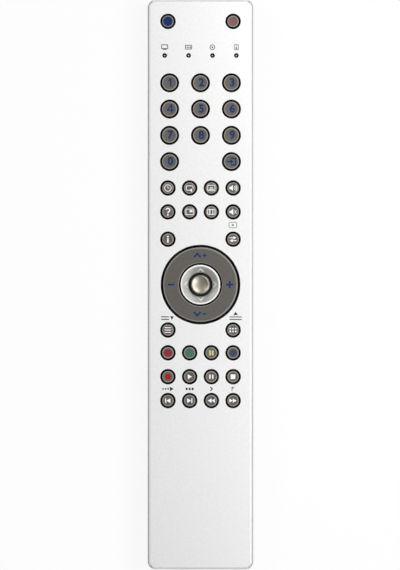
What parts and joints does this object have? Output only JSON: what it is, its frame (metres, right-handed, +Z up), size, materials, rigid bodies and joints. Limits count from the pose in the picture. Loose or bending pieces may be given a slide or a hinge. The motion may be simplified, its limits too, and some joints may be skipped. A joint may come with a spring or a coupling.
{
  "type": "television remote control",
  "caption": "Long slim infrared remote control: silver face, round push keys, four-way rocker ring round a small joystick, sliding battery door underneath.",
  "frame": {"origin": "under the middle of the case, on the surface that it lies on", "axes": "+Z up out of the keys, +Y along the case to the infrared window, +X to the right of someone who reads the keys"},
  "size_m": [0.0444, 0.24, 0.0198],
  "materials": {
    "silver_cover": "satin silver lacquer",
    "dark_cover": "fine spark-eroded texture",
    "key_plastic": "satin painted",
    "silver_dish": "satin metallic plating",
    "knob_metal": "satin champagne anodised",
    "window_plastic": "polished, dark red",
    "clear_plastic": "polished clear",
    "mat_rubber": "moulded silicone",
    "board_laminate": "glass-epoxy laminate with solder resist",
    "component_black": "moulded epoxy",
    "component_metal": "tinned can",
    "switch_plastic": "moulded acetal",
    "spring_steel": "nickel plated",
    "screw_steel": "black zinc plated",
    "cell_jacket": null
  },
  "bodies": {
    "root": {"batteries": "cell_jacket", "battery_contacts": "spring_steel", "battery_springs": "spring_steel", "capacitor": "component_metal", "case_screws": "screw_steel", "centre_dish": "silver_dish", "circuit_board": "board_laminate", "controller_chip": "component_black", "front_cover": "silver_cover", "indicator_lamps": "clear_plastic", "infrared_lamps": "clear_plastic", "ir_window": "window_plastic", "joystick_switch": "switch_plastic", "keypad_mat": "mat_rubber", "light_guide": "clear_plastic", "rear_cover": "dark_cover", "resonator": "component_metal"},
    "key_0": {"key_0": "key_plastic"},
    "key_1": {"key_1": "key_plastic"},
    "key_2": {"key_2": "key_plastic"},
    "key_3": {"key_3": "key_plastic"},
    "key_4": {"key_4": "key_plastic"},
    "key_5": {"key_5": "key_plastic"},
    "key_6": {"key_6": "key_plastic"},
    "key_7": {"key_7": "key_plastic"},
    "key_8": {"key_8": "key_plastic"},
    "key_9": {"key_9": "key_plastic"},
    "key_aspect": {"key_aspect": "key_plastic"},
    "key_blue": {"key_blue": "key_plastic"},
    "key_fast_forward": {"key_fast_forward": "key_plastic"},
    "key_green": {"key_green": "key_plastic"},
    "key_guide": {"key_guide": "key_plastic"},
    "key_help": {"key_help": "key_plastic"},
    "key_info": {"key_info": "key_plastic"},
    "key_menu": {"key_menu": "key_plastic"},
    "key_mode": {"key_mode": "key_plastic"},
    "key_mute": {"key_mute": "key_plastic"},
    "key_pause": {"key_pause": "key_plastic"},
    "key_picture_in_picture": {"key_picture_in_picture": "key_plastic"},
    "key_play": {"key_play": "key_plastic"},
    "key_record": {"key_record": "key_plastic"},
    "key_red": {"key_red": "key_plastic"},
    "key_repeat": {"key_repeat": "key_plastic"},
    "key_rewind": {"key_rewind": "key_plastic"},
    "key_skip_back": {"key_skip_back": "key_plastic"},
    "key_skip_forward": {"key_skip_forward": "key_plastic"},
    "key_sound": {"key_sound": "key_plastic"},
    "key_source": {"key_source": "key_plastic"},
    "key_standby": {"key_standby": "key_plastic"},
    "key_stop": {"key_stop": "key_plastic"},
    "key_subtitle": {"key_subtitle": "key_plastic"},
    "key_swap": {"key_swap": "key_plastic"},
    "key_timer": {"key_timer": "key_plastic"},
    "key_yellow": {"key_yellow": "key_plastic"},
    "rocker_pivot": {"rocker_pivot_ring": "switch_plastic"},
    "rocker": {"rocker_ring": "key_plastic"},
    "joystick_gimbal": {"joystick_gimbal": "switch_plastic"},
    "joystick_yoke": {"joystick_yoke": "switch_plastic"},
    "joystick_knob": {"joystick_knob": "knob_metal"},
    "battery_door": {"battery_door": "dark_cover"}
  },
  "joints": [
    {"name": "rocker_tilt_x", "type": "hinge", "parent": "root", "child": "rocker_pivot", "pos_m": [0, 0, 0.0144], "axis": [1, 0, 0], "range_deg": [-2.5, 2.5], "stiffness_Nm_per_rad": 0.6, "deforming": ["keypad_mat"]},
    {"name": "rocker_tilt_y", "type": "hinge", "parent": "rocker_pivot", "child": "rocker", "pos_m": [0, 0, 0.0144], "axis": [0, 1, 0], "range_deg": [-2.5, 2.5], "stiffness_Nm_per_rad": 0.6, "deforming": ["keypad_mat"]},
    {"name": "joystick_tilt_x", "type": "hinge", "parent": "root", "child": "joystick_gimbal", "pos_m": [0, 0, 0.0141], "axis": [1, 0, 0], "range_deg": [-7, 7], "stiffness_Nm_per_rad": 0.05},
    {"name": "joystick_tilt_y", "type": "hinge", "parent": "joystick_gimbal", "child": "joystick_yoke", "pos_m": [0, 0, 0.0141], "axis": [0, 1, 0], "range_deg": [-7, 7], "stiffness_Nm_per_rad": 0.05},
    {"name": "joystick_press", "type": "slide", "parent": "joystick_yoke", "child": "joystick_knob", "axis": [0, 0, -1], "range_m": [0, 0.0004], "stiffness_N_per_m": 2500},
    {"name": "battery_door_slide", "type": "slide", "parent": "root", "child": "battery_door", "axis": [0, -1, 0], "range_m": [0, 0.05]},
    {"name": "key_0_press", "type": "slide", "parent": "root", "child": "key_0", "axis": [0, 0, -1], "range_m": [0, 0.0008], "stiffness_N_per_m": 1100, "deforming": ["keypad_mat"]},
    {"name": "key_1_press", "type": "slide", "parent": "root", "child": "key_1", "axis": [0, 0, -1], "range_m": [0, 0.0008], "stiffness_N_per_m": 1100, "deforming": ["keypad_mat"]},
    {"name": "key_2_press", "type": "slide", "parent": "root", "child": "key_2", "axis": [0, 0, -1], "range_m": [0, 0.0008], "stiffness_N_per_m": 1100, "deforming": ["keypad_mat"]},
    {"name": "key_3_press", "type": "slide", "parent": "root", "child": "key_3", "axis": [0, 0, -1], "range_m": [0, 0.0008], "stiffness_N_per_m": 1100, "deforming": ["keypad_mat"]},
    {"name": "key_4_press", "type": "slide", "parent": "root", "child": "key_4", "axis": [0, 0, -1], "range_m": [0, 0.0008], "stiffness_N_per_m": 1100, "deforming": ["keypad_mat"]},
    {"name": "key_5_press", "type": "slide", "parent": "root", "child": "key_5", "axis": [0, 0, -1], "range_m": [0, 0.0008], "stiffness_N_per_m": 1100, "deforming": ["keypad_mat"]},
    {"name": "key_6_press", "type": "slide", "parent": "root", "child": "key_6", "axis": [0, 0, -1], "range_m": [0, 0.0008], "stiffness_N_per_m": 1100, "deforming": ["keypad_mat"]},
    {"name": "key_7_press", "type": "slide", "parent": "root", "child": "key_7", "axis": [0, 0, -1], "range_m": [0, 0.0008], "stiffness_N_per_m": 1100, "deforming": ["keypad_mat"]},
    {"name": "key_8_press", "type": "slide", "parent": "root", "child": "key_8", "axis": [0, 0, -1], "range_m": [0, 0.0008], "stiffness_N_per_m": 1100, "deforming": ["keypad_mat"]},
    {"name": "key_9_press", "type": "slide", "parent": "root", "child": "key_9", "axis": [0, 0, -1], "range_m": [0, 0.0008], "stiffness_N_per_m": 1100, "deforming": ["keypad_mat"]},
    {"name": "key_aspect_press", "type": "slide", "parent": "root", "child": "key_aspect", "axis": [0, 0, -1], "range_m": [0, 0.0008], "stiffness_N_per_m": 1100, "deforming": ["keypad_mat"]},
    {"name": "key_blue_press", "type": "slide", "parent": "root", "child": "key_blue", "axis": [0, 0, -1], "range_m": [0, 0.0008], "stiffness_N_per_m": 1100, "deforming": ["keypad_mat"]},
    {"name": "key_fast_forward_press", "type": "slide", "parent": "root", "child": "key_fast_forward", "axis": [0, 0, -1], "range_m": [0, 0.0008], "stiffness_N_per_m": 1100, "deforming": ["keypad_mat"]},
    {"name": "key_green_press", "type": "slide", "parent": "root", "child": "key_green", "axis": [0, 0, -1], "range_m": [0, 0.0008], "stiffness_N_per_m": 1100, "deforming": ["keypad_mat"]},
    {"name": "key_guide_press", "type": "slide", "parent": "root", "child": "key_guide", "axis": [0, 0, -1], "range_m": [0, 0.0008], "stiffness_N_per_m": 1100, "deforming": ["keypad_mat"]},
    {"name": "key_help_press", "type": "slide", "parent": "root", "child": "key_help", "axis": [0, 0, -1], "range_m": [0, 0.0008], "stiffness_N_per_m": 1100, "deforming": ["keypad_mat"]},
    {"name": "key_info_press", "type": "slide", "parent": "root", "child": "key_info", "axis": [0, 0, -1], "range_m": [0, 0.0008], "stiffness_N_per_m": 1100, "deforming": ["keypad_mat"]},
    {"name": "key_menu_press", "type": "slide", "parent": "root", "child": "key_menu", "axis": [0, 0, -1], "range_m": [0, 0.0008], "stiffness_N_per_m": 1100, "deforming": ["keypad_mat"]},
    {"name": "key_mode_press", "type": "slide", "parent": "root", "child": "key_mode", "axis": [0, 0, -1], "range_m": [0, 0.0008], "stiffness_N_per_m": 1100, "deforming": ["keypad_mat"]},
    {"name": "key_mute_press", "type": "slide", "parent": "root", "child": "key_mute", "axis": [0, 0, -1], "range_m": [0, 0.0008], "stiffness_N_per_m": 1100, "deforming": ["keypad_mat"]},
    {"name": "key_pause_press", "type": "slide", "parent": "root", "child": "key_pause", "axis": [0, 0, -1], "range_m": [0, 0.0008], "stiffness_N_per_m": 1100, "deforming": ["keypad_mat"]},
    {"name": "key_picture_in_picture_press", "type": "slide", "parent": "root", "child": "key_picture_in_picture", "axis": [0, 0, -1], "range_m": [0, 0.0008], "stiffness_N_per_m": 1100, "deforming": ["keypad_mat"]},
    {"name": "key_play_press", "type": "slide", "parent": "root", "child": "key_play", "axis": [0, 0, -1], "range_m": [0, 0.0008], "stiffness_N_per_m": 1100, "deforming": ["keypad_mat"]},
    {"name": "key_record_press", "type": "slide", "parent": "root", "child": "key_record", "axis": [0, 0, -1], "range_m": [0, 0.0008], "stiffness_N_per_m": 1100, "deforming": ["keypad_mat"]},
    {"name": "key_red_press", "type": "slide", "parent": "root", "child": "key_red", "axis": [0, 0, -1], "range_m": [0, 0.0008], "stiffness_N_per_m": 1100, "deforming": ["keypad_mat"]},
    {"name": "key_repeat_press", "type": "slide", "parent": "root", "child": "key_repeat", "axis": [0, 0, -1], "range_m": [0, 0.0008], "stiffness_N_per_m": 1100, "deforming": ["keypad_mat"]},
    {"name": "key_rewind_press", "type": "slide", "parent": "root", "child": "key_rewind", "axis": [0, 0, -1], "range_m": [0, 0.0008], "stiffness_N_per_m": 1100, "deforming": ["keypad_mat"]},
    {"name": "key_skip_back_press", "type": "slide", "parent": "root", "child": "key_skip_back", "axis": [0, 0, -1], "range_m": [0, 0.0008], "stiffness_N_per_m": 1100, "deforming": ["keypad_mat"]},
    {"name": "key_skip_forward_press", "type": "slide", "parent": "root", "child": "key_skip_forward", "axis": [0, 0, -1], "range_m": [0, 0.0008], "stiffness_N_per_m": 1100, "deforming": ["keypad_mat"]},
    {"name": "key_sound_press", "type": "slide", "parent": "root", "child": "key_sound", "axis": [0, 0, -1], "range_m": [0, 0.0008], "stiffness_N_per_m": 1100, "deforming": ["keypad_mat"]},
    {"name": "key_source_press", "type": "slide", "parent": "root", "child": "key_source", "axis": [0, 0, -1], "range_m": [0, 0.0008], "stiffness_N_per_m": 1100, "deforming": ["keypad_mat"]},
    {"name": "key_standby_press", "type": "slide", "parent": "root", "child": "key_standby", "axis": [0, 0, -1], "range_m": [0, 0.0008], "stiffness_N_per_m": 1100, "deforming": ["keypad_mat"]},
    {"name": "key_stop_press", "type": "slide", "parent": "root", "child": "key_stop", "axis": [0, 0, -1], "range_m": [0, 0.0008], "stiffness_N_per_m": 1100, "deforming": ["keypad_mat"]},
    {"name": "key_subtitle_press", "type": "slide", "parent": "root", "child": "key_subtitle", "axis": [0, 0, -1], "range_m": [0, 0.0008], "stiffness_N_per_m": 1100, "deforming": ["keypad_mat"]},
    {"name": "key_swap_press", "type": "slide", "parent": "root", "child": "key_swap", "axis": [0, 0, -1], "range_m": [0, 0.0008], "stiffness_N_per_m": 1100, "deforming": ["keypad_mat"]},
    {"name": "key_timer_press", "type": "slide", "parent": "root", "child": "key_timer", "axis": [0, 0, -1], "range_m": [0, 0.0008], "stiffness_N_per_m": 1100, "deforming": ["keypad_mat"]},
    {"name": "key_yellow_press", "type": "slide", "parent": "root", "child": "key_yellow", "axis": [0, 0, -1], "range_m": [0, 0.0008], "stiffness_N_per_m": 1100, "deforming": ["keypad_mat"]}
  ]
}
